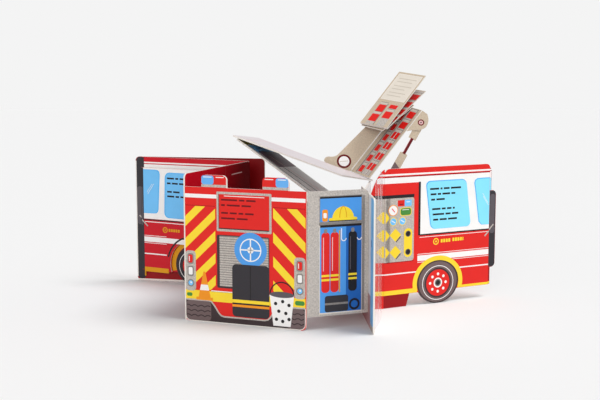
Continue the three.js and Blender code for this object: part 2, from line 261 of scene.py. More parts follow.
class Print:
    """Thin closed slabs of ink on a board, gathered as one mesh with one material slot per ink."""

    def __init__(self, at, half=BOARD_HALF, side=1.0):
        self.at = at
        self.half = half
        self.side = side
        self.inks = []
        self.verts = []
        self.faces = []
        self.slots = []
        self.count = 0

    def slab(self, low, high, ink, layer, closed=False, depth=INK_DEPTH):
        """A slab between two edge lines, each a list of (along, up) points of the same length.

        Its four corners at each pair of points are joined to the next four, and its ends are capped.
        depth is how far it reaches into the board, in millimetres."""
        low = np.asarray(low, dtype=float)
        high = np.asarray(high, dtype=float)
        n = len(low)
        top = (self.half + LAYER_STEP * (layer + 1)) * self.side
        base = (self.half - depth) * self.side
        bottom = np.full(n, base)
        upper = np.full(n, top)
        a = self.at(low[:, 0], low[:, 1], bottom)
        b = self.at(high[:, 0], high[:, 1], bottom)
        c = self.at(high[:, 0], high[:, 1], upper)
        d = self.at(low[:, 0], low[:, 1], upper)
        ring = np.stack([a, b, c, d], axis=1).reshape(-1, 3)
        steps = n if closed else n - 1
        i = np.arange(steps)[:, None] * 4
        j = (np.arange(steps)[:, None] + 1) % n * 4
        p = np.arange(4)[None, :]
        q = (p + 1) % 4
        quads = np.stack([i + q, j + q, j + p, i + p], axis=-1).reshape(-1, 4)
        if not closed:
            last = (n - 1) * 4
            caps = np.array([[3, 2, 1, 0], [last, last + 1, last + 2, last + 3]])
            quads = np.concatenate([quads, caps])
        if self.side < 0:
            quads = quads[:, ::-1]
        if ink not in self.inks:
            self.inks.append(ink)
        self.verts.append(ring)
        self.faces.append(quads + self.count)
        self.slots.append(np.full(len(quads), self.inks.index(ink)))
        self.count += len(ring)

    def box(self, a0, u0, a1, u1, ink, layer, steps=2, depth=INK_DEPTH):
        """A rectangle between two distances along the leaf and two heights."""
        a = np.linspace(a0, a1, steps)
        low = np.stack([a, np.full(steps, u0)], axis=1)
        high = np.stack([a, np.full(steps, u1)], axis=1)
        self.slab(low, high, ink, layer, depth=depth)

    def level(self, a0, a1, heights, ink, layer, steps=2, depth=INK_DEPTH):
        """A level line between two distances, over a pair of lower and upper heights."""
        self.box(a0, heights[0], a1, heights[1], ink, layer, steps, depth)

    def dome(self, a, u, radius, tall, ink, layer, steps=21):
        """A half ellipse that stands on a level line: across by a cosine, up by tall times a sine."""
        t = np.linspace(0.0, math.pi, steps)
        across = a - radius * np.cos(t)
        low = np.stack([across, np.full(steps, u)], axis=1)
        high = np.stack([across, u + np.maximum(tall * np.sin(t), 0.02)], axis=1)
        self.slab(low, high, ink, layer)

    def rounded(self, a0, u0, a1, u1, radius, ink, layer, lean=0.0, steps=2):
        """A rectangle with quarter circle corners; lean moves a point by its height above the foot."""
        t = np.linspace(0.0, math.pi / 2, 7)
        middle = np.linspace(a0 + radius, a1 - radius, steps + 2)[1:-1]
        inset = radius * (1 - np.cos(t))
        drop = radius * (1 - np.sin(t))
        a = np.concatenate([a0 + inset, middle, a1 - inset[::-1]])
        rise = np.concatenate([drop, np.zeros(len(middle)), drop[::-1]])
        rise = np.minimum(rise, (u1 - u0) / 2 - 0.01)
        low = np.stack([a + lean * rise, u0 + rise], axis=1)
        high = np.stack([a + lean * (u1 - u0 - rise), u1 - rise], axis=1)
        self.slab(low, high, ink, layer)

    def disc(self, a, u, radius, ink, layer, tall=None, steps=25, depth=INK_DEPTH):
        """A disc, or an ellipse when tall is given: the edge lines are its lower and upper halves."""
        tall = radius if tall is None else tall
        t = np.linspace(0.0, math.pi, steps)
        across = a - radius * np.cos(t)
        reach = np.maximum(tall * np.sin(t), 0.01)
        low = np.stack([across, u - reach], axis=1)
        high = np.stack([across, u + reach], axis=1)
        self.slab(low, high, ink, layer, depth=depth)

    def line(self, points, width, ink, layer, closed=False):
        """A stroke along (along, up) points: each point is offset to both sides by half the width."""
        p = np.asarray(points, dtype=float)
        if closed:
            step = np.roll(p, -1, axis=0) - np.roll(p, 1, axis=0)
        else:
            step = np.gradient(p, axis=0)
        step = step / np.linalg.norm(step, axis=1)[:, None]
        left = np.stack([-step[:, 1], step[:, 0]], axis=1) * width / 2
        self.slab(p - left, p + left, ink, layer, closed)

    def arc(self, a, u, radius, width, start, end, ink, layer, steps=41, tall=None):
        """A curved stroke about a centre, between two angles in degrees; tall is its other half axis."""
        tall = radius if tall is None else tall
        closed = abs(end - start) >= 360
        degrees = np.linspace(start, end, steps + 1)[:-1] if closed else np.linspace(start, end, steps)
        t = np.radians(degrees)
        points = np.stack([a + radius * np.cos(t), u + tall * np.sin(t)], axis=1)
        self.line(points, width, ink, layer, closed)

    def stripe(self, a0, u0, a1, u1, foot, tall, slope, ink, layer):
        """A slanting stripe clipped to a rectangle: its lower line is foot + slope (a - a0)."""
        marks = [a0, a1]
        for edge in (u0, u1):
            for height in (foot, foot + tall):
                marks.append(a0 + (edge - height) / slope)
        a = np.unique(np.clip(marks, a0, a1))
        low = np.clip(foot + slope * (a - a0), u0, u1)
        high = np.clip(foot + tall + slope * (a - a0), u0, u1)
        show = high - low > 0.02
        keep = show | np.append(show[1:], False) | np.insert(show[:-1], 0, False)
        a, low, high = a[keep], low[keep], np.maximum(high, low + 0.01)[keep]
        if len(a) > 1:
            self.slab(np.stack([a, low], axis=1), np.stack([a, high], axis=1), ink, layer)

    def dashes(self, a, u, widths, gap, tall, ink, layer):
        """A row of plain bars that stands for a line of type."""
        ends = np.cumsum(np.asarray(widths) + gap) - gap
        for end, width in zip(ends, widths):
            self.box(a + end - width, u, a + end, u + tall, ink, layer)

    def build(self, name, body):
        """Makes the object and lets it ride its body."""
        mesh = bpy.data.meshes.new(name)
        verts = np.concatenate(self.verts)
        faces = np.concatenate(self.faces)
        mesh.from_pydata(verts.tolist(), [], faces.tolist())
        mesh.polygons.foreach_set("material_index", np.concatenate(self.slots).astype(np.int32))
        for ink in self.inks:
            mesh.materials.append(ink_material(ink))
        mesh.update()
        obj = bpy.data.objects.new(name, mesh)
        bpy.context.scene.collection.objects.link(obj)
        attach(obj, body)
        return obj


# Materials

def new_material(name):
    """An empty node material with its output."""
    material = bpy.data.materials.new(name)
    material.use_nodes = True
    material.node_tree.nodes.clear()
    return material, material.node_tree.nodes, material.node_tree.links


def add_node(nodes, kind, values=None):
    """A new shader node, with its input values set by name."""
    node = nodes.new("ShaderNode" + kind)
    for name, value in (values or {}).items():
        node.inputs[name].default_value = value
    return node


def add_vector_step(nodes, operation, vector):
    """A vector operation whose second vector is fixed."""
    step = nodes.new("ShaderNodeVectorMath")
    step.operation = operation
    step.inputs[1].default_value = vector
    return step


def add_colour_mix(nodes, **inks):
    """A mix of two colours, with A or B or both set to an ink."""
    mix = nodes.new("ShaderNodeMix")
    mix.data_type = "RGBA"
    for side, ink in inks.items():
        mix.inputs[side].default_value = (*linear(INKS[ink]), 1.0)
    return mix


def print_shader(nodes, links, rough, bump, shine=1.0):
    """A coated paper shader: soft noise varies its roughness by 0.05, and fine noise raises a small tooth."""
    props = bpy.context.scene.book_print
    coords = add_node(nodes, "TexCoord")
    shader = add_node(nodes, "BsdfPrincipled", {"Specular IOR Level": props.gloss * shine})
    output = add_node(nodes, "OutputMaterial")
    gloss_noise = add_node(nodes, "TexNoise", {"Scale": 35.0, "Detail": 2.0})
    spread = add_node(nodes, "MapRange", {"To Min": rough - 0.05, "To Max": rough + 0.05})
    tooth = add_node(nodes, "TexNoise", {"Scale": 900.0})
    relief = add_node(nodes, "Bump", {"Strength": bump, "Distance": 0.0002})
    links.new(coords.outputs["Object"], gloss_noise.inputs["Vector"])
    links.new(gloss_noise.outputs["Fac"], spread.inputs["Value"])
    links.new(spread.outputs["Result"], shader.inputs["Roughness"])
    links.new(coords.outputs["Object"], tooth.inputs["Vector"])
    links.new(tooth.outputs["Fac"], relief.inputs["Height"])
    links.new(relief.outputs["Normal"], shader.inputs["Normal"])
    links.new(shader.outputs["BSDF"], output.inputs["Surface"])
    return coords, shader


def colour_with(nodes, links, coords, shader, source, ink):
    """Colours a shader with a source times fine noise, so that an ink isn't perfectly even.

    The noise, from 0.3 to 0.7, scales the colour from 1 - amount to 1 + 0.4 amount."""
    amount = SPECKLED.get(ink, INK_UNEVEN)
    scale = 700.0 if ink in SPECKLED else 60.0
    noise = add_node(nodes, "TexNoise", {"Scale": scale, "Detail": 3.0})
    values = {"From Min": 0.3, "From Max": 0.7, "To Min": 1.0 - amount, "To Max": 1.0 + amount * 0.4}
    reach = add_node(nodes, "MapRange", values)
    tint = nodes.new("ShaderNodeVectorMath")
    tint.operation = "SCALE"
    links.new(coords.outputs["Object"], noise.inputs["Vector"])
    links.new(noise.outputs["Fac"], reach.inputs["Value"])
    links.new(reach.outputs["Result"], tint.inputs["Scale"])
    if isinstance(source, tuple):
        tint.inputs[0].default_value = source
    else:
        links.new(source, tint.inputs[0])
    links.new(tint.outputs["Vector"], shader.inputs["Base Color"])


def ink_material(name):
    """The printed ink of that name, made once."""
    key = "ink_" + name
    if key in bpy.data.materials:
        return bpy.data.materials[key]
    if name == "glint":
        return glint_material(key)
    material, nodes, links = new_material(key)
    coords, shader = print_shader(nodes, links, PAPER_ROUGH, PAPER_TOOTH)
    colour_with(nodes, links, coords, shader, linear(INKS[name]), name)
    return material


def see_through(nodes, links, shader, pattern, noise_values, levels, clear_colour):
    """Mixes clear film with its gloss: noise from levels' first two values gives gloss from its last two."""
    output = next(n for n in nodes if n.type == "OUTPUT_MATERIAL")
    clear = add_node(nodes, "BsdfTransparent", {"Color": clear_colour})
    noise = add_node(nodes, "TexNoise", noise_values)
    names = ("From Min", "From Max", "To Min", "To Max")
    level = add_node(nodes, "MapRange", dict(zip(names, levels)))
    mix = nodes.new("ShaderNodeMixShader")
    links.new(pattern, noise.inputs["Vector"])
    links.new(noise.outputs["Fac"], level.inputs["Value"])
    links.new(level.outputs["Result"], mix.inputs["Fac"])
    links.new(clear.outputs["BSDF"], mix.inputs[1])
    links.new(shader.outputs["BSDF"], mix.inputs[2])
    links.new(mix.outputs["Shader"], output.inputs["Surface"])


def glint_material(key):
    """Light caught by clear film: patchy, half see-through white."""
    material, nodes, links = new_material(key)
    coords, shader = print_shader(nodes, links, 0.3, 0.0)
    shader.inputs["Base Color"].default_value = (0.95, 0.90, 0.88, 1.0)
    levels = (0.35, 0.65, 0.1, 0.4)
    see_through(nodes, links, shader, coords.outputs["Object"], {"Scale": 40.0}, levels, (1.0, 1.0, 1.0, 1.0))
    return material


def film_material():
    """Clear film: mostly see-through, with upright streaks of light from noise stretched up the film."""
    material, nodes, links = new_material("clear_film")
    coords, shader = print_shader(nodes, links, 0.14, 0.0)
    shader.inputs["Base Color"].default_value = (0.98, 0.93, 0.92, 1.0)
    stretch = add_node(nodes, "Mapping", {"Scale": (75.0, 75.0, 5.0)})
    links.new(coords.outputs["Object"], stretch.inputs["Vector"])
    noise_values = {"Scale": 1.0, "Detail": 1.0}
    levels = (0.52, 0.72, 0.07, 0.22)
    clear_colour = (0.985, 0.98, 0.985, 1.0)
    see_through(nodes, links, shader, stretch.outputs["Vector"], noise_values, levels, clear_colour)
    return material


def local_vector(obj, vector):
    """A row frame direction in an object's own axes."""
    turned = obj.matrix_world.to_3x3().inverted() @ Vector(vector)
    return turned.normalized()


def face_test(nodes, links, facing, operation, threshold):
    """One where the surface's direction along the leaf's front passes a threshold, and zero elsewhere."""
    test = nodes.new("ShaderNodeMath")
    test.operation = operation
    test.inputs[1].default_value = threshold
    links.new(facing.outputs["Value"], test.inputs[0])
    return test.outputs["Value"]


def fading_colour(obj, nodes, links, coords, front, fade):
    """The front's ink turning smoothly to another: fade is (ink, origin, direction, near, far).

    The distance is (point - origin) along the direction, and the inks change between near and far."""
    ink, origin, direction, near, far = fade
    place = obj.matrix_world.inverted() @ Vector([v * MM for v in origin])
    shift = add_vector_step(nodes, "SUBTRACT", place)
    reach = add_vector_step(nodes, "DOT_PRODUCT", local_vector(obj, direction))
    ramp = add_node(nodes, "MapRange", {"From Min": near * MM, "From Max": far * MM})
    ramp.interpolation_type = "SMOOTHSTEP"
    shade = add_colour_mix(nodes, A=front, B=ink)
    links.new(coords.outputs["Object"], shift.inputs[0])
    links.new(shift.outputs["Vector"], reach.inputs[0])
    links.new(reach.outputs["Value"], ramp.inputs["Value"])
    links.new(ramp.outputs["Result"], shade.inputs["Factor"])
    return shade.outputs["Result"]


def board_material(obj, front, back, normal, fade=None, shine=1.0):
    """Printed on both faces with a pale cut edge: the surface's direction along normal tells the face."""
    material, nodes, links = new_material("board_" + obj.name.replace(".", "_"))
    rough = PAPER_ROUGH if shine == 1.0 else DULL_ROUGH
    coords, shader = print_shader(nodes, links, rough, PAPER_TOOTH, shine)
    facing = add_vector_step(nodes, "DOT_PRODUCT", local_vector(obj, normal))
    links.new(coords.outputs["Normal"], facing.inputs[0])
    back_mix = add_colour_mix(nodes, A="edge", B=back)
    front_mix = add_colour_mix(nodes, B=front)
    links.new(face_test(nodes, links, facing, "LESS_THAN", -0.6), back_mix.inputs["Factor"])
    links.new(face_test(nodes, links, facing, "GREATER_THAN", 0.6), front_mix.inputs["Factor"])
    links.new(back_mix.outputs["Result"], front_mix.inputs["A"])
    if fade is not None:
        links.new(fading_colour(obj, nodes, links, coords, front, fade), front_mix.inputs["B"])
    colour_with(nodes, links, coords, shader, front_mix.outputs["Result"], front)
    obj.data.materials.clear()
    obj.data.materials.append(material)


# Groups of pieces

def heading_normal(degrees):
    """The front direction of an upright leaf of that heading: its sine, and minus its cosine."""
    return (math.sin(math.radians(degrees)), -math.cos(math.radians(degrees)), 0.0)


def plane_normal(across, along):
    """The unit direction square to two directions of a board."""
    up = np.cross(across, along)
    return up / np.linalg.norm(up)


def build_boards():
    """Prints the base colour on every board and card of the book."""
    nodes = frame["nodes"]
    uprights = {
        "rear_leaf": ("red", "dark_red", REAR_HEADING),
        "locker_leaf": ("speckle", "dark_red", LOCKER_HEADING),
        # The left side leaf and its flap take red painted darker: painted shade for the shade they stand in.
        "left_side_leaf": ("side_red", "dark_red", LEFT_SIDE_HEADING),
        "left_side_flap": ("side_red", "white", LEFT_SIDE_HEADING),
        "left_cover_board": ("dark_red", "red", LEFT_COVER_HEADING),
        "right_fold_strip": ("red", "dark_red", STRIP_HEADING),
        "door_leaf": ("white", "white", DOOR_HEADING),
        "back_leaf": ("white", "dark_red", BACK_HEADING),
        "right_side_leaf": ("red", "dark_red", RIGHT_SIDE_HEADING),
        "right_cover_board": ("dark_red", "red", RIGHT_SIDE_HEADING),
        "back_panel": ("dark_red", "dark_red", 0.0),
    }
    dull = ("back_leaf", "back_panel", "door_leaf")
    for name, (front, back, degrees) in uprights.items():
        shine = 0.2 if name in dull else 1.0
        board_material(nodes[name], front, back, heading_normal(degrees), shine=shine)
    # Painted shade: the inner leaf goes from red painted darker to a still darker wine towards the back of
    # the book, where it lies in shade.
    along = (math.cos(math.radians(INNER_HEADING)), math.sin(math.radians(INNER_HEADING)), 0.0)
    fade = ("painted_shade_wine", (*REAR_FOLD, 0.0), along, 70.0, 175.0)
    inner_front = heading_normal(INNER_HEADING)
    board_material(nodes["left_inner_leaf"], "side_red", "dark_red", inner_front, fade, 0.1)
    board_material(nodes["roof_leaf_upper"], "roof", "white", plane_normal(ROOF_FALL, ROOF_DEPTH))
    board_material(nodes["roof_leaf_inner"], "speckle", "speckle", plane_normal(ROOF_INNER_FALL, ROOF_DEPTH))
    bed_up = plane_normal(BED_ACROSS, BED_RUN)
    section_up = plane_normal(SECTION_ACROSS, FRONT_RUN)
    strut_up = np.array([0.0, -0.9, 0.4])
    cards = {
        "ladder_bed": bed_up,
        "ladder_left_plate": bed_up,
        "ladder_right_plate": bed_up,
        "ladder_strut": strut_up / np.linalg.norm(strut_up),
        "ladder_front_section": section_up,
        "ladder_middle_section": section_up,
        "ladder_lower_section": section_up,
    }
    for name, up in cards.items():
        board_material(nodes[name], "taupe", "maroon", up)
    film = nodes["clear_film_page"]
    film.data.materials.clear()
    film.data.materials.append(film_material())


def rear_print():
    """The rear of the engine: light bars, plate, slanting stripes, shutter, bumper and tyres."""
    p = Print(REAR)
    for start, first, second in ((23.8, "lamp_blue", "red"), (103.4, "red", "lamp_blue")):
        p.box(start + 0.4, 165.4, start + 33.6, 168.6, "speckle", 0)
        p.rounded(start + 0.5, 168.6, start + 16.6, 179.4, 3.0, first, 1)
        p.rounded(start + 17.0, 168.6, start + 33.5, 179.4, 3.0, second, 1)
        p.box(start + 3.0, 177.0, start + 14.0, 178.0, "white", 2)
        p.box(start + 19.5, 177.0, start + 30.0, 178.0, "white", 2)
    p.box(1.8, 152.0, 44.0, 156.6, "white", 0)
    p.box(115.0, 152.0, 157.6, 156.6, "white", 0)
    p.box(1.8, 142.2, 42.0, 142.9, "dark_red", 0)
    p.box(117.0, 144.2, 157.6, 144.9, "dark_red", 0)
    p.rounded(44.0, 112.8, 115.0, 160.6, 1.2, "speckle", 1)
    p.box(47.0, 115.6, 112.2, 157.6, "red", 2)
    p.box(47.0, 115.6, 112.2, 116.8, "black", 3)
    p.box(46.6, 115.6, 47.2, 157.6, "black", 3)
    p.box(54.0, 155.2, 106.0, 156.0, "white", 3)
    rows = ((150.0, (21, 7, 12)), (143.6, (5, 17, 12)), (134.2, (9, 9, 6, 11)), (127.8, (18, 14)))
    for height, widths in rows:
        p.dashes(50.0, height, widths, 2.4, 2.0, "maroon", 3)
    for foot in (116.0, 89.0, 62.0, 35.0, 8.0):
        p.stripe(1.6, 40.0, 42.0, 141.8, foot, 12.4, 0.95, "yellow", 0)
    for foot in (161.0, 132.0, 103.0, 74.0, 45.0):
        p.stripe(117.0, 40.0, 157.6, 143.8, foot, 12.4, -0.98, "yellow", 0)
    shutter(p, 44.0, 112.0, 44.0, 108.4)
    p.box(1.6, 26.0, 157.6, 38.6, "yellow", 1)
    p.box(36.0, 38.0, 128.0, 39.6, "white", 1)
    bumper(p)
    for centre in (8.6, 150.6):
        p.rounded(centre - 7.0, 37.5, centre + 7.0, 87.0, 4.5, "speckle", 2)
        p.rounded(centre - 4.2, 70.5, centre + 4.2, 83.5, 2.5, "steel", 3)
        p.rounded(centre - 2.9, 72.0, centre + 2.9, 82.0, 2.0, "red", 4)
        p.rounded(centre - 4.2, 55.5, centre + 4.2, 68.0, 2.5, "steel", 3)
        p.rounded(centre - 2.7, 57.2, centre + 2.7, 66.4, 1.6, "white", 4)
        p.disc(centre, 47.0, 4.6, "steel", 3)
        p.disc(centre, 47.0, 3.1, "sky_left", 4)
        p.disc(centre + 0.5, 47.6, 1.2, "white", 5)
        p.box(centre - 2.0, 74.0, centre - 1.1, 80.0, "white", 5)
    p.rounded(3.2, 30.6, 10.6, 35.0, 2.1, "green", 3)
    p.rounded(144.6, 29.8, 156.6, 35.2, 2.4, "green", 3)
    rear_motifs(p)
    # A pale line along the leaf's outline and round the light bars: partly the card's cut edge, partly a
    # painted highlight along it.
    edge = [(1.5, 164.4), (1.5, 7.0), (2.4, 3.6), (4.4, 1.6), (7.4, 0.6), (80.0, 0.5), (151.0, 0.6),
            (154.6, 1.8), (157.0, 4.4), (157.6, 8.0), (157.6, 26.0)]
    p.line(edge, 0.9, "edge", 7)
    for start in (23.8, 103.4):
        rim = [(start + 33.5, 165.0), (start + 33.5, 176.0), (start + 32.4, 178.6), (start + 29.6, 179.6)]
        p.line(rim, 0.8, "edge", 4)
    return p.build("rear_print", "pages")


def shutter(p, a0, a1, u0, u1):
    """A roller shutter: a dark frame with level slats."""
    p.rounded(a0, u0 - 0.5, a1, u1, 2.0, "tyre_dark", 2)
    p.box(a0 + 3.6, u0 + 1.8, a1 - 1.0, u1 - 1.0, "steel", 3)
    for foot in np.arange(u0 + 2.2, u1 - 3.0, 2.9):
        p.box(a0 + 3.6, foot, a1 - 1.0, foot + 1.9, "speckle", 4)


def bumper(p):
    """The dark underside with its stepped grey lip and the two rear tyres.

    A tread is a row of humps: the absolute sine of the distance along the leaf."""
    lip = [(1.8, 26.6), (3.8, 26.6), (7.4, 26.6), (32.0, 26.6), (36.0, 25.4), (40.0, 21.0), (46.0, 12.0),
           (49.0, 9.2), (53.0, 8.2)]
    right = [(106.0, 8.2), (110.0, 9.2), (113.0, 12.0), (119.0, 21.0), (123.0, 25.4), (127.0, 26.6),
             (151.6, 26.6), (155.4, 26.6), (157.4, 26.6)]
    line = np.array(lip + right)
    floor = np.stack([line[:, 0], np.full(len(line), 0.2)], axis=1)
    floor[:2, 1] = (6.0, 2.2)
    floor[-2:, 1] = (2.2, 5.4)
    p.slab(floor, line, "tyre_dark", 2)
    p.line(line, 1.8, "speckle", 4)
    for start, end in ((2.0, 35.6), (134.0, 157.2)):
        p.rounded(start, 1.2, end, 25.6, 5.0, "tyre", 3)
    for height in (6.0, 12.0, 18.0):
        for a in (np.linspace(3.0, 34.6, 25), np.linspace(135.0, 156.2, 17)):
            tread = np.stack([a, height + 2.0 * np.abs(np.sin(a * 0.35))], axis=1)
            p.line(tread, 1.3, "tyre_dark", 4)


def rear_motifs(p):
    """Plain gear in front of the shutter: a hose reel over a black case, a spotted bucket and a cone."""
    p.rounded(64.0, 10.0, 112.0, 74.0, 5.0, "charcoal_and_painted_shade_tyre", 6)
    p.box(64.0, 22.0, 112.0, 25.0, "orange", 7)
    p.box(64.0, 25.0, 112.0, 27.0, "black", 7)
    p.box(64.0, 27.0, 112.0, 31.0, "yellow", 7)
    p.box(87.0, 31.0, 88.2, 72.0, "black", 7)
    p.disc(88.0, 92.0, 21.0, "locker_blue", 5)
    p.disc(88.0, 92.0, 14.0, "white", 6)
    p.disc(88.0, 92.0, 12.6, "locker_blue", 7)
    p.disc(88.0, 92.0, 4.0, "white", 8)
    p.line([(88.0, 79.4), (88.0, 104.6)], 1.6, "white", 8)
    p.line([(75.4, 92.0), (100.6, 92.0)], 1.6, "white", 8)
    p.slab([(117.0, 3.0), (139.0, 3.0)], [(112.5, 41.0), (143.5, 41.0)], "white", 5)
    p.disc(128.0, 41.0, 15.5, "smoke", 6, tall=3.6)
    p.arc(128.0, 41.0, 15.0, 1.4, 0.0, 180.0, "black", 5)
    spots = ((120.0, 30.0), (129.0, 33.0), (137.0, 29.0), (124.0, 21.0), (133.0, 19.0), (121.0, 11.0),
             (129.0, 9.0), (137.0, 12.0))
    for a, u in spots:
        p.disc(a, u, 2.1, "black", 6, steps=13)
    p.box(16.0, 26.8, 38.0, 30.4, "orange", 5)
    p.slab([(19.0, 30.4), (35.0, 30.4)], [(25.8, 62.0), (28.2, 62.0)], "orange", 5)
    p.slab([(20.8, 39.0), (33.2, 39.0)], [(22.4, 46.0), (31.6, 46.0)], "white", 6)


def locker_print():
    """The open locker: two blue bays with plain gear."""
    p = Print(LOCKER)
    p.box(15.0, 127.8, 69.4, 159.0, "steel", 0)
    p.box(15.8, 128.6, 68.6, 157.4, "locker_blue", 1)
    p.box(15.8, 156.0, 68.6, 158.0, "black", 2)
    p.box(14.6, 124.4, 70.0, 127.6, "steel", 1)
    p.box(15.0, 18.6, 69.6, 124.4, "cream", 0)
    p.box(15.8, 20.0, 69.0, 123.0, "locker_blue", 1)
    p.box(49.0, 20.0, 69.0, 122.6, "deep_blue", 2)
    p.box(15.8, 122.0, 69.0, 124.8, "black", 3)
    p.box(69.6, 20.0, 73.0, 158.0, "steel", 0)
    p.dome(45.0, 131.0, 14.0, 15.0, "yellow", 3)
    p.dome(45.0, 131.0, 5.0, 15.6, "gold_and_painted_shade_yellow", 4)
    p.dome(45.0, 131.0, 4.0, 14.6, "yellow", 5)
    p.rounded(27.0, 129.2, 63.0, 132.8, 1.6, "yellow", 6)
    p.box(27.0, 128.7, 63.0, 129.6, "black", 7)
    p.rounded(18.5, 129.0, 25.5, 143.0, 2.0, "orange", 2)
    p.rounded(20.0, 133.0, 24.0, 139.0, 1.2, "white", 3)
    for start, width, ink in ((17.5, 10.5, "red"), (29.0, 10.5, "red"), (52.0, 11.0, "black")):
        p.rounded(start, 44.0, start + width, 116.0, 4.5, ink, 4)
        p.rounded(start + width / 2 - 2.0, 115.0, start + width / 2 + 2.0, 120.0, 1.2, "steel", 5)
        p.box(start, 58.0, start + width, 60.6, "yellow", 5)
        p.box(start, 63.0, start + width, 65.6, "yellow", 5)
        p.box(start + 2.0, 70.0, start + 3.0, 110.0, "pink" if ink == "red" else "smoke", 5)
    p.box(39.8, 44.0, 41.4, 118.0, "gold_and_painted_shade_yellow", 4)
    p.arc(46.0, 108.0, 3.0, 1.0, 180.0, 360.0, "white", 4)
    p.line([(43.0, 108.0), (43.0, 120.0)], 1.0, "white", 4)
    p.arc(66.0, 108.0, 2.6, 1.0, 180.0, 360.0, "white", 4)
    p.rounded(22.0, 20.4, 52.0, 40.0, 3.0, "charcoal_and_painted_shade_tyre", 4)
    p.box(22.0, 29.0, 52.0, 31.4, "steel", 5)
    p.disc(60.0, 28.0, 7.0, "black", 4)
    p.disc(60.0, 28.0, 4.4, "deep_blue", 5)
    return p.build("locker_print", "pages")


def side_lines(p, a0, a1, steps):
    """The waist lines that run round both sides of the engine."""
    for heights in WAIST_LINES:
        p.level(a0, a1, heights, "white", 1, steps)


def wheel(p, a, u, start=0, wide=32.4, dark="tyre"):
    """A tyre with its white ring, a red hub with eight bolts evenly round it, and a dark centre."""
    hub = u - 1.4
    p.disc(a, u, wide, "tyre_dark", start, tall=28.4, steps=49, depth=2.0)
    p.disc(a, u, wide - 2.4, dark, start + 1, tall=26.8, steps=49)
    p.arc(a, hub, 24.0, 0.9, 0.0, 360.0, "white", start + 2, steps=60, tall=22.4)
    p.disc(a, hub, 20.6, "tyre_dark", start + 2, tall=19.8, steps=41)
    p.disc(a, hub, 18.2, "red", start + 3, tall=17.6, steps=41)
    t = np.arange(8) * math.pi / 4
    for x, y in zip(a + 12.2 * np.cos(t), hub + 11.6 * np.sin(t)):
        p.disc(x, y, 1.9, "white", start + 4, steps=13)
    p.disc(a, hub, 6.6, "white", start + 4)
    p.disc(a, hub, 4.9, "steel", start + 5)
    p.disc(a, hub, 3.4, "black", start + 6)


def left_side_print():
    """The left side leaf behind the flap: roof lines, mudguard and wheel, with the mudguard and tyre painted
    darker as painted shade.
    """
    p = Print(LEFT_SIDE)
    p.box(14.2, 171.0, 172.0, 173.0, "white", 0)
    p.box(14.2, 90.0, 172.0, 169.6, "white", 0)
    p.box(10.0, 17.4, 14.2, 179.4, "charcoal_and_painted_shade_tyre", 0, depth=2.0)
    p.arc(*LEFT_WHEEL, 33.0, 6.6, -17.0, 197.0, "gold_and_painted_shade_yellow", 1, steps=60, tall=32.6)
    # The left tyre takes a darker ink than the right one: painted shade.
    wheel(p, *LEFT_WHEEL, 2, 29.6, "charcoal_and_painted_shade_tyre")
    return p.build("left_side_print", "pages")


def left_flap_print():
    """The bowed flap: two blue windows, the level lines and a yellow sill, with its red, sill and badge
    painted darker as painted shade, and a black arc of painted shadow round the wheel.
    """
    p = Print(LEFT_FLAP)
    start = 14.2
    end = 159.8
    p.box(start, 91.4, end, 164.8, "white", 0, steps=30)
    p.box(start, 89.4, end, 91.0, "black", 1, steps=30)
    p.box(16.0, 86.6, end, 87.6, "white", 0, steps=30)
    p.box(9.9, 17.4, start, 164.8, "charcoal_and_painted_shade_tyre", 0, depth=2.0)
    p.box(10.5, 82.0, 12.4, 137.0, "smoke", 1)
    p.slab([(14.2, 99.5), (22.0, 99.5), (30.0, 99.5), (35.5, 100.0), (38.0, 102.0), (39.2, 105.5)],
           [(14.2, 162.4), (22.0, 162.4), (32.0, 162.4), (38.5, 162.0), (41.2, 160.0), (42.2, 156.0)],
           "sky_edge", 1)
    p.slab([(14.2, 100.5), (22.0, 100.5), (30.0, 100.5), (34.5, 101.0), (36.6, 102.6), (37.8, 106.0)],
           [(14.2, 161.4), (22.0, 161.4), (31.0, 161.4), (36.5, 161.0), (39.4, 159.4), (40.6, 155.6)],
           "sky_left", 2)
    p.rounded(48.8, 94.5, 108.0, 159.5, 8.0, "sky_edge", 1, lean=0.03, steps=14)
    p.rounded(50.4, 95.5, 107.0, 158.5, 7.4, "sky_left", 2, lean=0.03, steps=14)
    p.rounded(114.0, 94.5, 156.0, 158.5, 8.0, "sky_left", 1, steps=12)
    p.line([(20.0, 130.0), (29.0, 142.0)], 0.5, "white", 3)
    p.line([(21.0, 127.0), (32.0, 142.4)], 0.5, "white", 3)
    for height, widths in ((150.0, (12, 5, 14)), (143.0, (6, 10, 9)), (131.0, (8, 11)), (124.5, (12, 6, 8))):
        p.dashes(54.5, height, widths, 2.4, 2.4, "black", 3)
    for a0, a1 in ((start, 52.0), (137.0, end)):
        side_lines(p, a0, a1, 12)
        p.box(a0, 40.0, a1, 41.6, "white", 1, steps=12)
        p.box(a0, 14.6, a1 + 3.0, 21.2, "gold_and_painted_shade_yellow", 1, steps=12, depth=2.0)
    p.box(14.2, 8.0, 15.6, 14.8, "gold_and_painted_shade_yellow", 1, depth=2.0)
    p.level(52.0, 137.0, WAIST_BAND, "white", 1, steps=24)
    # Painted shadow: the black arc stands for the dark gap where the flap's edge curves round the wheel.
    p.arc(*LEFT_WHEEL, 41.0, 2.4, 14.0, 166.0, "black", 3, steps=60)
    p.line([(11.0, 89.4), (20.5, 80.8)], 1.8, "speckle", 4)
    p.disc(50.0, 77.0, 4.2, "gold_and_painted_shade_yellow", 1)
    p.disc(50.0, 77.0, 2.6, "side_red", 2)
    p.disc(50.0, 77.0, 1.2, "gold_and_painted_shade_yellow", 3)
    p.dashes(56.0, 75.0, (3, 3, 3, 3, 3), 1.0, 4.0, "gold_and_painted_shade_yellow", 1)
    return p.build("left_flap_print", "pages")


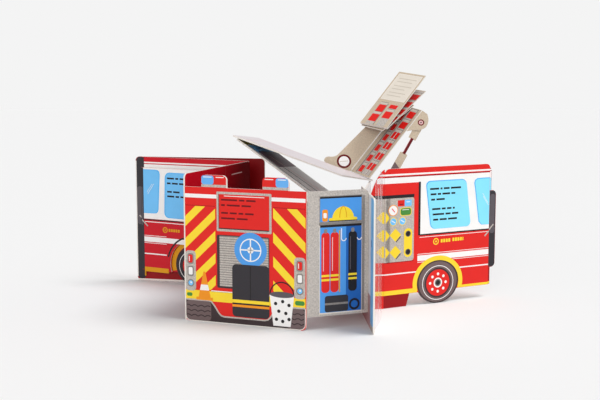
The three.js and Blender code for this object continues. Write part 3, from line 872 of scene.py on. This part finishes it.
def left_cover_print():
    """The left cover: a black window post with a mirror and its arm."""
    p = Print(LEFT_COVER)
    # A pale border along the bottom and the left: partly the board's cut edge, partly a painted reflection of
    # it along the bottom.
    p.box(1.0, 0.2, 180.0, 2.6, "edge", 0)
    p.line([(0.7, 174.0), (0.7, 90.0), (0.7, 6.0)], 1.3, "edge", 0)
    p.rounded(1.2, 2.6, 13.0, 179.6, 5.0, "charcoal_and_painted_shade_tyre", 1)
    p.rounded(1.6, 82.0, 10.6, 137.0, 3.6, "smoke", 2)
    p.line([(4.6, 95.0), (12.6, 87.8)], 1.8, "speckle", 3)
    p.build("left_cover_print", "left_cover")
    return outer_cover_print(LEFT_COVER, 8.0, 182.0, 6.0, "left_cover_outer_print", "left_cover")


def outer_cover_print(at, a0, a1, foot, name, body):
    """A cover's outer face: level lines, three windows and a sill, as on the engine's sides."""
    p = Print(at, BOARD_HALF, -1.0)
    margin = 8.0
    p.box(a0, 166.0, a1, 168.0, "white", 0)
    p.box(a0, 96.0, a1, 162.0, "white", 0)
    p.box(a0, 93.6, a1, 95.4, "black", 0)
    p.level(a0, a1, WAIST_BAND, "white", 0)
    p.box(a0, 54.6, a1, 55.4, "white", 0)
    p.box(a0, foot, a1, foot + 6.0, "yellow", 0)
    wide = (a1 - a0 - 4 * margin) / 3
    for i in range(3):
        start = a0 + margin + i * (wide + margin)
        p.rounded(start, 103.0, start + wide, 156.0, 7.0, "sky_edge", 1)
        p.rounded(start + 1.2, 104.0, start + wide - 0.4, 154.8, 6.4, "sky", 2)
        p.line([(start + 14.0, 122.0), (start + 24.0, 138.0)], 0.7, "white", 3)
    return p.build(name, body)


def strip_board():
    """The narrow strip by the spine, printed like the side it joins.

    Its upper corner is cut away in a curve: each band ends at the line through a and top."""
    p = Print(STRIP)
    a = np.array([1.4, 6.0, 10.0, 13.0, 16.0, 19.0, 22.0, 25.0, 27.0, 28.9])
    top = np.array([120.0, 132.0, 144.0, 153.0, 161.0, 167.5, 172.5, 176.5, 178.6, 179.6])

    def band(heights, ink, layer, depth=INK_DEPTH):
        low, high = heights
        keep = top > low
        lower = np.stack([a, np.minimum(low, top - 0.02)], axis=1)
        upper = np.stack([a, np.minimum(high, top)], axis=1)
        p.slab(lower[keep], upper[keep], ink, layer, depth=depth)

    band((0.0, 180.0), "edge", -1, 2.0)
    band((0.4, 179.8), "red", 0)
    band(ROOF_LINE, "white", 1)
    band(UPPER_BAND, "white", 1)
    band((60.0, 142.0), "speckle", 1)
    band((142.0, 146.4), "black", 2)
    band(LOWER_LINE, "white", 1)
    band(SILL, "yellow", 1)
    for height in (74.0, 95.0, 118.0):
        p.slab([(19.0, height), (26.0, height - 7.4), (28.8, height - 7.4)],
               [(19.0, height + 0.02), (26.0, height + 7.4), (28.8, height + 7.4)], "yellow", 2)
    obj = p.build("strip_board", "pages")
    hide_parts("right_fold_strip")
    return obj


def film_glints():
    """Bright edges and soft streaks of light on the clear film."""
    p = Print(FILM, GLINT_HALF)
    p.box(0.6, 176.6, 125.0, 177.8, "glint", 0, steps=25)
    p.box(124.2, 6.0, 125.2, 177.0, "glint", 0)
    p.line([(96.0, 20.0), (99.0, 70.0), (101.0, 118.0), (104.0, 168.0)], 2.6, "glint", 0)
    p.line([(62.0, 60.0), (66.0, 110.0), (74.0, 150.0), (92.0, 174.0)], 3.4, "glint", 0)
    p.line([(18.0, 130.0), (30.0, 150.0), (48.0, 166.0), (70.0, 175.0)], 3.0, "glint", 0)
    return p.build("film_glints", "pages")


def door_print():
    """The door leaf's blue face with its dark latch marks, and a painted shadow over its lower rear part."""
    p = Print(DOOR)
    # Painted shadow: the pink field stands for the shade under the locker.
    p.box(2.0, 0.6, 104.0, 40.0, "painted_shadow_rose", 0)
    p.rounded(104.0, 8.0, 129.4, 158.0, 4.0, "sky_left", 0)
    p.box(108.0, 100.0, 112.0, 108.0, "deep_blue", 1)
    p.rounded(104.0, 0.6, 129.4, 8.0, 3.0, "speckle", 0)
    return p.build("door_print", "pages")


def right_side_print():
    """The right side: pump panel, windows, the level lines, mudguard and wheel."""
    p = Print(RIGHT_SIDE)
    fold = -0.6
    end = 163.4
    lean = -0.135
    p.box(fold, 17.4, 1.4, 176.0, "red", -1, depth=1.6)
    p.level(fold, end, ROOF_LINE, "white", 0)
    p.box(fold, 168.6, end, 170.0, "dark_red", 0)
    p.level(fold, end, UPPER_BAND, "white", 0)
    p.box(53.0, 92.4, end, 161.2, "white", 0)
    p.box(50.6, 92.0, 53.8, 161.6, "black", 1)
    p.box(53.0, 91.4, end, 93.2, "black", 1)
    p.box(53.0, 88.8, end, 89.5, "white", 1)
    p.rounded(69.6, 98.6, 133.6, 162.0, 7.0, "sky_edge", 1, lean=lean)
    p.rounded(71.0, 98.8, 133.4, 160.8, 6.6, "sky", 2, lean=lean)
    p.slab([(138.0, 155.0), (139.4, 148.0), (146.0, 103.6), (150.6, 99.2), (163.3, 98.8)],
           [(138.2, 157.0), (139.6, 160.0), (143.0, 161.8), (150.6, 162.0), (163.3, 162.0)], "sky_edge", 1)
    p.slab([(139.4, 155.0), (140.8, 148.0), (147.4, 103.8), (151.6, 99.6), (163.3, 99.0)],
           [(139.6, 156.6), (141.0, 159.4), (144.2, 160.6), (151.6, 160.8), (163.3, 160.8)], "sky", 2)
    rows = ((150.0, (14, 3, 9, 16)), (143.0, (9, 5, 12, 6)), (136.0, (6, 13)), (123.5, (13, 6, 7, 3)),
            (116.5, (18, 8, 10)), (109.5, (8, 11, 14)))
    for height, widths in rows:
        p.dashes(75.0 + lean * (height - 98.6), height, widths, 2.2, 2.4, "black", 3)
    p.line([(161.0, 128.0), (152.0, 141.0)], 0.5, "white", 3)
    p.line([(161.6, 125.0), (153.0, 137.0)], 0.5, "white", 3)
    p.line([(163.2, 89.6), (156.6, 83.4)], 1.8, "speckle", 3)
    side_lines(p, 50.0, end, 2)
    p.level(fold, 50.0, LOWER_LINE, "white", 1)
    p.level(116.0, end, LOWER_LINE, "white", 1)
    p.box(fold, 59.0, 44.0, 60.0, "dark_red", 0)
    p.level(fold, 50.0, SILL, "yellow", 1)
    p.box(114.0, SILL[0], end, 20.5, "yellow", 1)
    p.arc(RIGHT_WHEEL[0], 27.6, 36.0, 6.4, -16.0, 196.0, "yellow", 3, steps=60, tall=32.2)
    wheel(p, *RIGHT_WHEEL, 4)
    pump_panel(p, fold)
    p.disc(78.5, 82.0, 4.4, "yellow", 1)
    p.disc(78.5, 82.0, 3.0, "red", 2)
    p.disc(78.5, 82.0, 1.4, "yellow", 3)
    p.dashes(86.0, 80.0, (3, 3, 3, 3), 1.0, 4.4, "yellow", 1)
    p.dashes(104.6, 80.4, (3, 3, 3, 3, 1.4), 1.0, 4.4, "yellow", 1)
    return p.build("right_side_print", "pages")


def pump_panel(p, fold):
    """The grey pump panel with its dial, lamps, button, outlets and a dog-bone handle."""
    p.rounded(1.2, 60.0, 44.0, 142.6, 4.0, "speckle", 1)
    p.box(fold, 60.0, 8.0, 142.6, "speckle", 1)
    p.box(fold, 142.2, 44.0, 146.4, "black", 2)
    p.box(19.0, 131.5, 29.4, 139.4, "red", 2)
    p.box(29.4, 131.5, 40.0, 139.4, "sky_left", 2)
    p.box(22.0, 133.4, 27.0, 134.4, "maroon", 3)
    p.box(32.0, 136.2, 37.6, 137.2, "white", 3)
    p.disc(12.3, 126.8, 7.2, "orange", 2)
    p.disc(12.3, 126.8, 6.2, "white", 3)
    p.line([(10.2, 129.4), (14.8, 124.4)], 1.2, "red", 4)
    p.rounded(22.6, 119.0, 40.0, 129.6, 3.6, "yellow", 2)
    p.rounded(23.4, 119.8, 39.2, 128.8, 3.2, "green", 3)
    p.box(26.0, 126.4, 36.0, 127.2, "white", 4)
    for a in (12.5, 26.4):
        p.disc(a, 112.3, 5.6, "yellow", 2)
        p.disc(a, 112.3, 4.6, "sky_left", 3)
        p.line([(a - 2.6, 113.8), (a + 2.6, 110.8)], 1.0, "white", 4)
    for height in (94.8, 72.6):
        p.slab([(7.6, height), (16.0, height - 8.6), (24.4, height)],
               [(7.6, height + 0.6), (16.0, height + 8.6), (24.4, height + 0.6)], "yellow", 2)
        p.line([(17.0, height - 8.8), (24.0, height - 2.2)], 1.2, "black", 3)
        p.slab([(1.2, height - 7.4), (7.0, height - 1.0)],
               [(1.2, height + 7.4), (7.0, height + 1.0)], "yellow", 2)
    p.slab([(1.2, 110.0), (6.6, 116.8)], [(1.2, 125.0), (6.6, 118.2)], "yellow", 2)
    p.rounded(29.0, 65.0, 41.4, 102.6, 6.0, "yellow", 2)
    for height in (95.4, 71.8):
        p.disc(35.2, height, 4.0, "smoke", 3)
        p.disc(35.2, height, 3.0, "black", 4)


def right_cover_print():
    """The right cover: the black mirror at its edge with the arm that holds it."""
    p = Print(RIGHT_COVER)
    p.box(158.0, 161.0, 167.6, 170.0, "white", 0)
    p.box(158.0, 171.0, 167.6, 173.0, "white", 0)
    p.box(158.0, 144.0, 167.6, 161.0, "sky", 0)
    p.box(158.0, 17.4, 167.6, 20.5, "yellow", 0)
    p.rounded(160.0, 40.6, 175.6, 143.6, 4.6, "charcoal_and_painted_shade_tyre", 0)
    p.rounded(166.4, 86.0, 174.4, 139.0, 3.4, "smoke", 1)
    p.line([(172.6, 98.0), (165.2, 90.6)], 1.8, "speckle", 2)
    p.build("right_cover_print", "right_cover")
    return outer_cover_print(RIGHT_COVER, 6.0, 160.0, 20.0, "right_cover_outer_print", "right_cover")


def inner_print():
    """The inner leaf: a pale slot near its top and faint folds."""
    p = Print(INNER)
    p.line([(128.0, 167.0), (159.0, 167.4)], 1.4, "pink", 0)
    p.box(110.0, 2.0, 110.6, 178.0, "dark_red", 0)
    return p.build("inner_print", "pages")


def rungs(p, a0, a1, starts, red, ink, layer):
    """Rungs of one column: each a field of ink with a short pale rung above it."""
    for foot in starts:
        p.box(a0, foot, a1, foot + red, ink, layer)
        p.box(a0, foot + red + 1.2, a1 - 1.0, foot + red + 4.4, "faint", layer)
        p.box(a0, foot + red + 4.4, a1, foot + red + 5.4, "steel", layer)


def ladder_bed_print():
    """The ladder's bed: two offset columns of rungs between grey rails, with a pale fold down the second."""
    p = Print(BED, CARD_HALF)
    top = 121.0
    starts = RUNG_PITCH * np.arange(6)
    p.box(8.6, 0.0, 10.6, top, "steel", 0)
    p.box(10.6, 0.0, 36.0, top, "speckle", 0)
    rungs(p, 11.4, 19.0, 2.0 + starts, 11.0, "red", 1)
    rungs(p, 23.0, 35.6, 9.0 + starts, 11.4, "red", 1)
    p.box(19.0, 0.0, 20.0, top, "taupe", 2)
    p.box(20.0, 0.0, 20.6, top, "black", 2)
    p.box(20.6, 0.0, 23.0, top, "speckle", 2)
    p.box(28.6, 0.0, 29.4, 78.0, "edge", 3)
    p.box(29.4, 0.0, 30.0, 78.0, "maroon", 3)
    p.box(35.6, 0.0, 36.4, top, "steel", 2)
    return p.build("ladder_bed_print", "pages")


def ladder_plate_print():
    """Pivot marks, a large ring on the left plate and a small one on the right, and the strut's marks."""
    p = Print(LEFT_PLATE, CARD_HALF, -1.0)
    p.disc(16.5, 3.6, 10.2, "maroon", 0, steps=41)
    p.disc(16.5, 3.6, 7.4, "white", 1, steps=33)
    p.line([(12.0, 7.6), (21.0, -0.4)], 0.9, "faint", 2)
    p.box(0.6, 0.0, 1.4, 88.0, "edge", 0)
    p.build("left_plate_print", "pages")
    q = Print(RIGHT_PLATE, CARD_HALF)
    q.disc(9.3, 106.3, 4.6, "maroon", 0)
    q.disc(9.3, 106.3, 2.9, "pink", 1)
    q.disc(9.3, 106.3, 1.3, "tyre", 2, steps=13)
    q.build("right_plate_print", "pages")
    r = Print(STRUT, CARD_HALF)
    r.box(-2.2, 26.0, 2.2, 52.0, "maroon", 0, depth=1.2)
    r.box(1.6, 27.0, 2.2, 50.0, "pink", 1)
    r.slab([(-5.4, 74.0), (5.4, 68.0)], [(-5.4, 80.0), (5.4, 80.0)], "tyre", 0)
    return r.build("strut_print", "pages")


def section_columns(p, top, right=39.4):
    """Two offset columns of rungs between card rails, from the foot up to a height."""
    p.box(8.0, 0.6, right + 0.6, top, "speckle", 0)
    first = 7.0 + RUNG_PITCH * np.arange(5)
    second = 16.0 + RUNG_PITCH * np.arange(4)
    rungs(p, 8.6, 21.4, first[first < top - 14.0], 14.0, "red", 1)
    rungs(p, 26.4, right, second[second < top - 14.0], 13.0, "red", 1)
    p.box(21.4, 0.6, 22.6, top, "steel", 2)
    p.box(22.6, 0.6, 26.4, top, "taupe", 2)


def ladder_section_print():
    """The folded ladder's front section: a cream panel over rungs in a card frame."""
    p = Print(FRONT, CARD_HALF)
    section_columns(p, 43.0)
    p.box(26.4, 35.4, 39.4, 42.6, "red", 3)
    p.box(2.6, 50.6, 43.9, 104.0, "edge", 0)
    p.box(3.4, 51.4, 43.1, 103.2, "cream", 1)
    for height, width in ((94.0, 30), (87.6, 26), (79.0, 30), (72.6, 22), (65.0, 28), (58.8, 24)):
        p.dashes(8.5, height, (width,), 2.0, 1.6, "faint", 2)
    return p.build("ladder_section_print", "pages")


def ladder_middle_print():
    """The next section behind: rungs between card rails."""
    p = Print(MIDDLE, CARD_HALF)
    section_columns(p, 96.0, 45.4)
    return p.build("ladder_middle_print", "pages")


def roof_print():
    """The roof's upper face: a pale panel with thin pink lines that run down with its slope."""
    p = Print(ROOF)
    p.line([(16.0, 3.0), (60.0, 3.0), (120.0, 3.0)], 0.8, "pink", 0)
    p.line([(16.0, 150.0), (80.0, 150.0), (140.0, 150.0)], 0.8, "pink", 0)
    p.line([(16.0, 3.0), (16.0, 70.0), (16.0, 150.0)], 0.8, "pink", 0)
    return p.build("roof_print", "pages")


def roof_inner_print():
    """The inner roof leaf: fields of colour by the ridge, then pale card painted white as painted light
    against the shade of the upper roof, with dark lines down its slope.
    """
    p = Print(ROOF_INNER)
    foot = 152.0
    back = 161.0
    # Painted light: the white base is paler than the speckled card under it, to make up for the shade under
    # the upper roof leaf.
    p.box(1.0, 1.0, foot, back, "white", 0)
    p.box(1.0, 1.0, 12.0, back, "olive", 1)
    p.box(14.0, 12.0, 30.0, back, "sky_left", 1)
    p.box(26.0, 22.0, 60.0, back, "plum", 2)
    p.line([(8.0, 8.0), (30.0, 14.0), (60.0, 16.0), (110.0, 17.0), (foot, 17.0)], 3.2, "black", 3)
    p.line([(40.0, 30.0), (60.0, 52.0), (100.0, 62.0), (140.0, 66.0), (foot, 66.0)], 3.4, "black", 3)
    p.line([(36.0, 60.0), (60.0, 76.0), (110.0, 92.0), (foot, 96.0)], 1.4, "pink", 3)
    return p.build("roof_inner_print", "pages")


# Stage

def stage_material(name, level):
    """A surface that shows one pale level to the camera and takes the object's shadow."""
    material, nodes, links = new_material(name)
    values = {"Base Color": (level, level, level, 1.0), "Roughness": 0.85, "Specular IOR Level": 0.1}
    shader = add_node(nodes, "BsdfPrincipled", values)
    output = add_node(nodes, "OutputMaterial")
    links.new(shader.outputs["BSDF"], output.inputs["Surface"])
    return material


def build_floor(level):
    """A flat grid of even squares, 12 m across."""
    n = 9
    side = np.linspace(-6.0, 6.0, n)
    x, y = np.meshgrid(side, side, indexing="xy")
    verts = np.stack([x.ravel(), y.ravel(), np.zeros(n * n)], axis=1)
    i = (np.arange(n - 1)[:, None] * n + np.arange(n - 1)[None, :]).ravel()
    quads = np.stack([i, i + 1, i + n + 1, i + n], axis=1)
    mesh = bpy.data.meshes.new("floor")
    mesh.from_pydata(verts.tolist(), [], quads.tolist())
    mesh.materials.append(stage_material("floor_paper", level))
    floor = bpy.data.objects.new("floor", mesh)
    bpy.context.scene.collection.objects.link(floor)
    return floor


def build_world(level):
    """Even light from all round, and a pale backdrop for the camera."""
    world = bpy.data.worlds.new("pale_world")
    world.use_nodes = True
    nodes = world.node_tree.nodes
    links = world.node_tree.links
    nodes.clear()
    path = add_node(nodes, "LightPath")
    backdrop = (BACKDROP_LEVEL, BACKDROP_LEVEL, BACKDROP_LEVEL, 1.0)
    seen = add_node(nodes, "Background", {"Color": backdrop})
    dome = add_node(nodes, "Background", {"Color": (1.0, 1.0, 1.0, 1.0), "Strength": level})
    mix = add_node(nodes, "MixShader")
    output = add_node(nodes, "OutputWorld")
    links.new(path.outputs["Is Camera Ray"], mix.inputs["Fac"])
    links.new(dome.outputs["Background"], mix.inputs[1])
    links.new(seen.outputs["Background"], mix.inputs[2])
    links.new(mix.outputs["Shader"], output.inputs["Surface"])
    return world


def build_lamp(name, level, angle, origin):
    """A broad lamp that shines from a direction, with its angle in degrees."""
    lamp = bpy.data.lights.new(name, "SUN")
    lamp.energy = level
    lamp.angle = math.radians(angle)
    holder = bpy.data.objects.new(name, lamp)
    holder.rotation_euler = Vector(origin).to_track_quat("Z", "Y").to_euler()
    bpy.context.scene.collection.objects.link(holder)
    return holder


def build_stage():
    """Floor, world, two broad lamps and the camera."""
    props = bpy.context.scene.book_stage
    scene = bpy.context.scene
    floor = build_floor(props.floor_level)
    scene.world = build_world(props.dome_level)
    key = build_lamp("key_lamp", props.key_level, 32.0, (0.5, -0.05, 1.0))
    fill = build_lamp("fill_lamp", props.fill_level, 40.0, (-0.12, -1.0, 0.2))
    camera = bpy.data.cameras.new("camera")
    camera.lens = CAMERA_LENS
    camera.sensor_width = 36.0
    view = bpy.data.objects.new("camera", camera)
    view.location = CAMERA_PLACE
    view.rotation_euler = (math.radians(90.0 - CAMERA_TILT), 0.0, 0.0)
    scene.collection.objects.link(view)
    scene.camera = view
    scene.view_settings.view_transform = "Standard"


# Settings and operators

class BookPrintSettings(bpy.types.PropertyGroup):
    """Settings of the printed card."""

    gloss: bpy.props.FloatProperty(
        name="Gloss", description="How strongly the coated card shines", default=0.25, min=0.0, max=1.0,
        subtype="FACTOR")


class BookStageSettings(bpy.types.PropertyGroup):
    """Settings of the stage."""

    floor_level: bpy.props.FloatProperty(
        name="Floor level", description="How pale the floor is", default=0.88, min=0.0, max=1.0,
        subtype="FACTOR")
    dome_level: bpy.props.FloatProperty(
        name="Dome level", description="Brightness of the even light from all round", default=0.42, min=0.0)
    key_level: bpy.props.FloatProperty(
        name="Key level", description="Strength of the lamp from above and right", default=1.95, min=0.0)
    fill_level: bpy.props.FloatProperty(
        name="Fill level", description="Strength of the low lamp in front", default=1.15, min=0.0)


def run(*builders):
    """Runs a group's functions in order and reports that they finished."""
    for build in builders:
        build()
    return {"FINISHED"}


class BOOK_OT_boards(bpy.types.Operator):
    """Print the base colours on the boards and cards"""

    bl_idname = "book.boards"
    bl_label = "Board colours"

    def execute(self, context):
        return run(build_boards)


class BOOK_OT_rear(bpy.types.Operator):
    """Add the print on the rear leaf and the locker"""

    bl_idname = "book.rear"
    bl_label = "Rear prints"

    def execute(self, context):
        return run(rear_print, locker_print)


class BOOK_OT_left(bpy.types.Operator):
    """Add the prints on the left side, its flap and the left cover"""

    bl_idname = "book.left"
    bl_label = "Left prints"

    def execute(self, context):
        return run(left_side_print, left_flap_print, inner_print, left_cover_print)


class BOOK_OT_right(bpy.types.Operator):
    """Add the prints on the right side, the spine strip and the right cover"""

    bl_idname = "book.right"
    bl_label = "Right prints"

    def execute(self, context):
        return run(strip_board, door_print, film_glints, right_side_print, right_cover_print)


class BOOK_OT_ladder(bpy.types.Operator):
    """Add the prints on the folding ladder"""

    bl_idname = "book.ladder"
    bl_label = "Ladder prints"

    def execute(self, context):
        return run(ladder_bed_print, ladder_plate_print, ladder_section_print, ladder_middle_print)


class BOOK_OT_roof(bpy.types.Operator):
    """Add the prints on the folded roof"""

    bl_idname = "book.roof"
    bl_label = "Roof prints"

    def execute(self, context):
        return run(roof_print, roof_inner_print)


class BOOK_OT_stage(bpy.types.Operator):
    """Add the floor, the lamps, the world and the camera"""

    bl_idname = "book.stage"
    bl_label = "Stage"

    def execute(self, context):
        return run(build_stage)


class BOOK_PT_panel(bpy.types.Panel):
    """The book's settings and steps in the sidebar"""

    bl_idname = "BOOK_PT_panel"
    bl_label = "Pop up book"
    bl_space_type = "VIEW_3D"
    bl_region_type = "UI"
    bl_category = "Pop up book"

    def draw(self, context):
        layout = self.layout
        for group in (context.scene.book_print, context.scene.book_stage):
            for name in group.bl_rna.properties.keys():
                if name not in ("rna_type", "name"):
                    layout.prop(group, name)
        for operator in OPERATORS:
            layout.operator(operator.bl_idname)


SETTINGS = (BookPrintSettings, BookStageSettings)
OPERATORS = (
    BOOK_OT_boards,
    BOOK_OT_rear,
    BOOK_OT_left,
    BOOK_OT_right,
    BOOK_OT_ladder,
    BOOK_OT_roof,
    BOOK_OT_stage,
)
CLASSES = SETTINGS + OPERATORS + (BOOK_PT_panel,)


def register():
    """Registers the classes and hangs the settings on the scene."""
    for cls in CLASSES:
        bpy.utils.register_class(cls)
    bpy.types.Scene.book_print = bpy.props.PointerProperty(type=BookPrintSettings)
    bpy.types.Scene.book_stage = bpy.props.PointerProperty(type=BookStageSettings)


def unregister():
    """Takes the settings and the classes away again."""
    del bpy.types.Scene.book_stage
    del bpy.types.Scene.book_print
    for cls in reversed(CLASSES):
        bpy.utils.unregister_class(cls)


def main():
    """Builds every group in order."""
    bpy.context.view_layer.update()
    register()
    bpy.ops.book.boards()
    bpy.ops.book.rear()
    bpy.ops.book.left()
    bpy.ops.book.right()
    bpy.ops.book.ladder()
    bpy.ops.book.roof()
    bpy.ops.book.stage()


if __name__ == "__main__":
    main()
